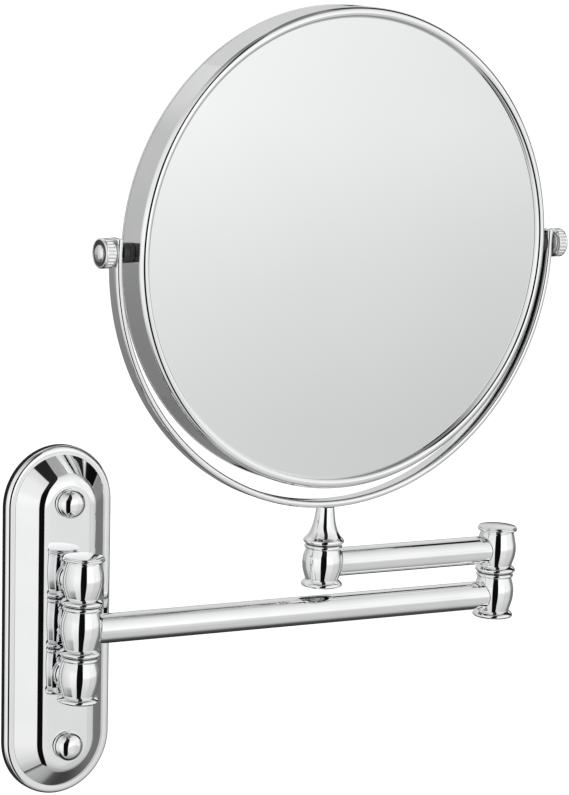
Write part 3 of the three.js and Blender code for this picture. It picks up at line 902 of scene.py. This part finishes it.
def plain_glass():
    """Flat glass with a ground edge."""
    back, r = GLASS_FACE - GLASS_THICKNESS, size("plain_glass").z / 2
    profile = outline([(0, back, 0), (r, back, 0.2), (r, GLASS_FACE, 0.35), (0, GLASS_FACE, 0)])
    obj = lathe("plain_glass_ground", profile, MIRROR_CENTRE, "-y", segments=HEAD_SEGMENTS)
    return stands_for(obj, "plain_glass", "mirror_glass")


def magnifying_glass():
    """Dished glass on the other side."""
    dish, r = 5.0, size("magnifying_glass").z / 2
    rings = 28
    front = [(r * i / rings, GLASS_FACE - dish * (1 - (i / rings) ** 2)) for i in range(rings + 1)]
    back = [(radius, depth - GLASS_THICKNESS) for radius, depth in front]
    profile = back + front[::-1]
    obj = lathe("magnifying_glass_ground", profile, MIRROR_CENTRE, "y", segments=192)
    return stands_for(obj, "magnifying_glass", "mirror_glass")


def pivot_bush(node, axis):
    """Sleeve between rim and yoke, with a turned groove."""
    near, far = span_from_centre(node)
    r = size(node).z / 2
    step = near + 0.45 * (far - near)
    profile = outline([
        (KNOB_BORE, near, 0.1), (r, near, 0.25), (r, step - 0.2, 0.1), (r - 0.3, step, 0.05),
        (r, step + 0.2, 0.1), (r, far, 0.25), (KNOB_BORE, far, 0.1),
    ], closed=True)
    obj = lathe(f"{node}_moulded", profile, MIRROR_CENTRE, axis, segments=72, ring=True)
    return stands_for(obj, node, "nylon")


def knob_washer(node, axis):
    """Steel friction washer under a knob."""
    near, far = span_from_centre(node)
    outer = 5.6
    profile = outline([
        (KNOB_BORE, near, 0.1), (outer, near, 0.2), (outer, far, 0.2), (KNOB_BORE, far, 0.1),
    ], closed=True)
    obj = lathe(f"{node}_stamped", profile, MIRROR_CENTRE, axis, segments=72, ring=True)
    return stands_for(obj, node, "steel")


def knob(node, axis):
    """Thumb screw: ribbed grip between two plain rims, a raised button in a groove whose floor holds a black
    ring as painted shade, and its stud.
    """
    near, far = span_from_centre(node)
    washer_space, button_height = 1.2, 1.5
    start, face = YOKE_OUTER + washer_space, far - button_height
    radius = size(node).z / 2
    ribs, rib_depth = 22, 0.5
    ribs_low, ribs_high = start + 1.0, face - 0.55
    rows = 12
    profile = outline([
        (0, near, 0), (2.4, near, 0.3), (2.4, start, 0.05), (5.6, start, 0.2), (5.75, start + 0.4, 0.15),
        (radius, start + 0.6, 0.15), (radius, ribs_low, 0),
    ])
    profile += [(radius, ribs_low + (ribs_high - ribs_low) * i / rows) for i in range(1, rows)]
    profile += outline([
        (radius, ribs_high, 0), (radius, face - 0.1, 0.2), (radius - 0.45, face + 0.4, 0.25),
        (5.5, face + 0.4, 0.12), (5.3, face - 0.5, 0.1), (3.7, face - 0.5, 0.1), (3.5, face + 0.5, 0.35),
        (2.5, far - 0.35), (1.2, far - 0.05), (0, far, 0),
    ])

    def ribbed(angle, r, x):
        if not ribs_low <= x <= ribs_high or r < radius - 0.1:
            return r
        ends = min(1, (x - ribs_low) / 0.35, (ribs_high - x) / 0.35)
        crest = abs(math.sin(ribs * angle / 2)) ** 0.7
        return radius - rib_depth * (1 - crest) * ends

    obj = lathe(f"{node}_ribbed", profile, MIRROR_CENTRE, axis, segments=ribs * 12, shape=ribbed, sharp=28)
    # A black ring on the floor of the button's groove: painted shade that darkens the groove.
    groove_shade = outline([
        (3.66, face - 0.55, 0), (5.34, face - 0.55, 0), (5.38, face - 0.1, 0.1), (3.6, face - 0.1, 0.1),
    ], closed=True)
    ring = lathe(f"{node}_inlay", groove_shade, MIRROR_CENTRE, axis, segments=72, ring=True)
    ring.data.materials.append(NYLON_AND_SHADE)
    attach(ring, node)
    return stands_for(obj, node, "chrome")


# ---------------------------------------------------------------- assembly

plate_with_holes()
barrel("hinge_knuckle_upper", WALL_AXIS, pocket=False, bead=False)
barrel("hinge_knuckle_lower", WALL_AXIS, pocket=True)
for word in ("upper", "lower"):
    knuckle_foot(f"hinge_knuckle_{word}", WALL_AXIS, middle(f"knuckle_screw_{word}").z)
    flat_washer(f"hinge_washer_{word}", WALL_AXIS)
    screw_cap(f"screw_cap_{word}")
    cap_seat(f"cap_seat_{word}")
    wall_screw(f"wall_screw_{word}")
    wall_plug(f"wall_plug_{word}")
headed_bolt("hinge_bolt", WALL_AXIS, heights("hinge_knuckle_upper")[1])
hex_nut("hinge_nut", WALL_AXIS)
spring_washer("hinge_spring_washer", WALL_AXIS)

barrel("lower_arm_knuckle", WALL_AXIS, pocket=False)
barrel("lower_arm_elbow", ELBOW_AXIS, pocket=True)
arm_tube("lower_arm_tube", (WALL_AXIS, "lower_arm_knuckle"), (ELBOW_AXIS, "lower_arm_elbow"))
flat_washer("elbow_washer", ELBOW_AXIS)

barrel("upper_arm_elbow", ELBOW_AXIS, pocket=False, bead=False)
headed_bolt("elbow_bolt", ELBOW_AXIS, heights("upper_arm_elbow")[1])
hex_nut("elbow_nut", ELBOW_AXIS)
spring_washer("elbow_spring_washer", ELBOW_AXIS)
barrel("post_socket", POST_AXIS, pocket=True)
arm_tube("upper_arm_tube", (POST_AXIS, "post_socket"), (ELBOW_AXIS, "upper_arm_elbow"))
flat_washer("post_washer", POST_AXIS)

swivel_post()
hex_nut("post_nut", POST_AXIS)
spring_washer("post_spring_washer", POST_AXIS)
yoke()
yoke_screw()

rim_band()
bezel("front_bezel", "-y")
bezel("rear_bezel", "y")
plain_glass()
magnifying_glass()
for word, axis in (("left", "-x"), ("right", "x")):
    pivot_bush(f"pivot_bush_{word}", axis)
    knob_washer(f"knob_washer_{word}", axis)
    knob(f"knob_{word}", axis)

CARRIED_OVER = {
    "backing_block": "cast_metal",
    "knuckle_screw_upper": "steel", "knuckle_screw_lower": "steel",
    "backing_board": "board", "spacer_ring": "board",
    "pivot_boss_left": "steel", "pivot_boss_right": "steel",
}
for node, slot in CARRIED_OVER.items():
    mesh = frame["nodes"][node].data
    mesh.materials.clear()
    mesh.materials.append(FINISHES[slot])


# ---------------------------------------------------------------- studio

def floor():
    """A plain pale floor well below the mirror, too even to show in the plating."""
    drop, half = 0.3, 7.0
    z = CAD_BOX[0].z - drop
    corners = [(-half, -half, z), (half, -half, z), (half, half, z), (-half, half, z)]
    obj = mesh_object("floor", corners, [(0, 1, 2, 3)])

    def pale(nodes):
        patch = nodes.noise(3, detail=2)
        return {"Base Color": nodes.ramp(patch, [(0.3, 0.90), (0.7, 0.93)])}

    glow = {"Emission_Color": (1, 1, 1, 1), "Emission_Strength": 0.6}
    obj.data.materials.append(make_material("pale_floor", pale, Roughness=0.8, **glow))
    obj.visible_glossy = False


def by_azimuth(nodes, azimuth, stops):
    """A level of light from stops of (azimuth in degrees, level)."""
    share = nodes.span(azimuth, -180.0, 180.0)
    return nodes.ramp(share, [((a + 180) / 360, level) for a, level in stops], "LINEAR")


def by_elevation(nodes, z, stops):
    """A level of light from stops of (elevation in degrees, level). z is the sine of the elevation."""
    share = nodes.span(z, -1.0, 1.0)
    return nodes.ramp(share, [((math.sin(math.radians(e)) + 1) / 2, level) for e, level in stops], "LINEAR")


def tent_sides(nodes, azimuth, z):
    """The tent's light all round, at eye level, towards the floor and overhead."""
    around = by_azimuth(nodes, azimuth, [
        (-150, 0.66), (-136, 0.92), (-110, 1.08), (-88, 1.16), (-76, 1.32), (-44, 1.28), (-5, 1.16),
        (24, 1.11), (30.5, 1.09), (37.5, 0.88), (44, 0.96), (60, 0.93), (78, 0.82), (86, 0.3), (100, 0.25),
        (118, 0.25), (128, 0.17),
    ])
    around_floor = by_azimuth(nodes, azimuth, [
        (-84, 0.06), (-74, 1.2), (-5, 1.15), (60, 0.9), (74, 0.68), (88, 0.26), (104, 0.12),
        (150, 0.04),
    ])
    around_top = by_azimuth(nodes, azimuth, [
        (-136, 0.92), (-110, 1.05), (-44, 1.2), (30, 1.05), (80, 1.0), (116, 0.85),
    ])
    low = nodes.mix(nodes.span(z, -0.5, -0.78), around, around_floor)
    return nodes.mix(nodes.span(z, 0.12, 0.3), low, around_top)


def tent_front(nodes, azimuth, z):
    """How the light in front falls off from eye level to the floor and the top."""
    right = by_elevation(nodes, z, [
        (-90, 0.38), (-58, 0.5), (-50, 0.62), (-25, 0.72), (-14, 0.72), (-9.5, 0.77), (-7, 0.88),
        (-4.6, 1.03), (-2, 1.06), (20, 0.98), (40, 0.86), (52, 0.74), (60, 0.42), (75, 0.2),
    ])
    left = by_elevation(nodes, z, [
        (-90, 0.38), (-58, 0.5), (-50, 0.62), (-25, 0.7), (-12, 0.75), (5, 0.8), (35, 0.76), (57, 0.55),
        (75, 0.2),
    ])
    return nodes.mix(nodes.span(azimuth, -40.0, -12.0), left, right)


def tent_back(nodes, azimuth, z):
    """The dimmer light behind, from the floor up."""
    left = by_elevation(nodes, z, [
        (-60, 0.03), (-32, 0.22), (-9.5, 0.28), (-7.5, 0.5), (23, 0.57), (34, 0.8), (60, 0.8),
    ])
    right = by_elevation(nodes, z, [(-60, 0.03), (-32, 0.2), (-12, 0.28), (-4, 0.5), (5, 0.66), (60, 0.7)])
    return nodes.mix(nodes.span(azimuth, -60.0, 60.0), left, right)


def black_slit(nodes, azimuth, z):
    """1 in the slit left of the front, which turns to the right overhead."""
    overhead_turn = nodes.span(z, 0.35, 0.75, 0.0, 14.0)
    turned = nodes.math("SUBTRACT", azimuth, overhead_turn)
    return nodes.product(nodes.within(-43.0, -8.5, 1.2, turned), nodes.within(-0.93, 0.95, 0.02, z))


def black_flag(nodes, azimuth, z):
    """1 on the flag on the right. From eye level down it stands further back and is narrower, and overhead
    it turns a little to the left."""
    centre = nodes.span(z, 0.06, 0.19, 143.0, 103.0)
    half_width = nodes.span(z, 0.06, 0.19, 9.0, 14.0)
    overhead_turn = nodes.span(z, 0.55, 0.85, 0.0, 5.0)
    from_centre = nodes.math("SUBTRACT", nodes.math("ADD", azimuth, overhead_turn), centre)
    share = nodes.math("DIVIDE", nodes.math("ABSOLUTE", from_centre), half_width)
    return nodes.product(nodes.span(share, 1.05, 0.88, smooth=True), nodes.within(-0.80, 0.92, 0.02, z))


def studio():
    """A white tent, brightest at eye level in front and dimmer towards the floor and the back, with a
    black slit left of the front and a black flag on the right. The plating mirrors it, and the camera sees
    an even white. Azimuths run from the front, -Y, to +X."""
    world = bpy.data.worlds.new("studio")
    bpy.context.scene.world = world
    world.use_nodes = True
    nodes = Nodes(world.node_tree)
    direction = nodes.add("ShaderNodeTexCoord").outputs["Generated"]
    x, y, z = nodes.add("ShaderNodeSeparateXYZ", {0: direction}).outputs[:3]
    turn = nodes.math("ARCTAN2", x, nodes.product(y, -1.0))
    azimuth = nodes.product(turn, 180 / math.pi)

    behind = nodes.span(nodes.math("ABSOLUTE", azimuth), 138.0, 150.0, smooth=True)
    ahead = nodes.product(tent_sides(nodes, azimuth, z), tent_front(nodes, azimuth, z))
    walls = nodes.mix(behind, ahead, tent_back(nodes, azimuth, z))
    dark = nodes.math("MAXIMUM", black_slit(nodes, azimuth, z), black_flag(nodes, azimuth, z))
    near_black = nodes.span(z, 0.35, 0.6, 0.004, 0.02)
    tent = nodes.mix(dark, walls, near_black)
    backdrop = 1.1
    seen = nodes.add("ShaderNodeLightPath").outputs["Is Camera Ray"]
    lit = nodes.add("ShaderNodeBackground", {"Color": nodes.mix(seen, tent, backdrop), "Strength": 1.0})
    nodes.add("ShaderNodeOutputWorld", {"Surface": lit.outputs[0]})


def wall_shade_card():
    """Thin black border round the plate, just behind the wall plane: painted shade in place of the wall's
    shade round the plate, which only the plate's edge mirrors.
    """
    behind_wall, overlap, reach = 0.3, 1.0, 4.0
    inner = stadium_loop(PLATE_HALF_WIDTH - overlap, -behind_wall)
    outer = stadium_loop(PLATE_HALF_WIDTH + reach, -behind_wall)
    obj = leaning(mesh_object("wall_shade_card", inner + outer, bands(2, len(inner))))

    def near_black(nodes):
        return {"Base Color": nodes.ramp(nodes.noise(40), [(0.3, 0.004), (0.7, 0.006)])}

    # Near-black painted shade: the wall's shade next to the plate, seen only in the plate's edge.
    obj.data.materials.append(make_material("painted_wall_shade", near_black))
    obj.visible_camera = False


def camera():
    """Long lens from the left front, a little above, with a slight roll."""
    target = Vector((0.0938, -0.025, 0.0945))
    yaw, pitch, roll = math.radians(33.14), math.radians(8.98), math.radians(2.90)
    distance = 1.5325
    ahead = math.cos(pitch)
    forward = Vector((math.sin(yaw) * ahead, math.cos(yaw) * ahead, -math.sin(pitch)))
    level = Vector((math.cos(yaw), -math.sin(yaw), 0))
    upright = level.cross(forward)
    right = level * math.cos(roll) + upright * math.sin(roll)
    up = upright * math.cos(roll) - level * math.sin(roll)
    data = bpy.data.cameras.new("camera")
    data.sensor_width, data.lens = 36, 163.08
    data.clip_start, data.clip_end = 0.05, 40
    obj = bpy.data.objects.new("camera", data)
    bpy.context.scene.collection.objects.link(obj)
    turned = Matrix((right, up, -forward)).transposed().to_4x4()
    obj.matrix_world = Matrix.Translation(target - forward * distance) @ turned
    bpy.context.scene.camera = obj


floor()
wall_shade_card()
studio()
camera()
bpy.context.scene.view_settings.view_transform = "Standard"
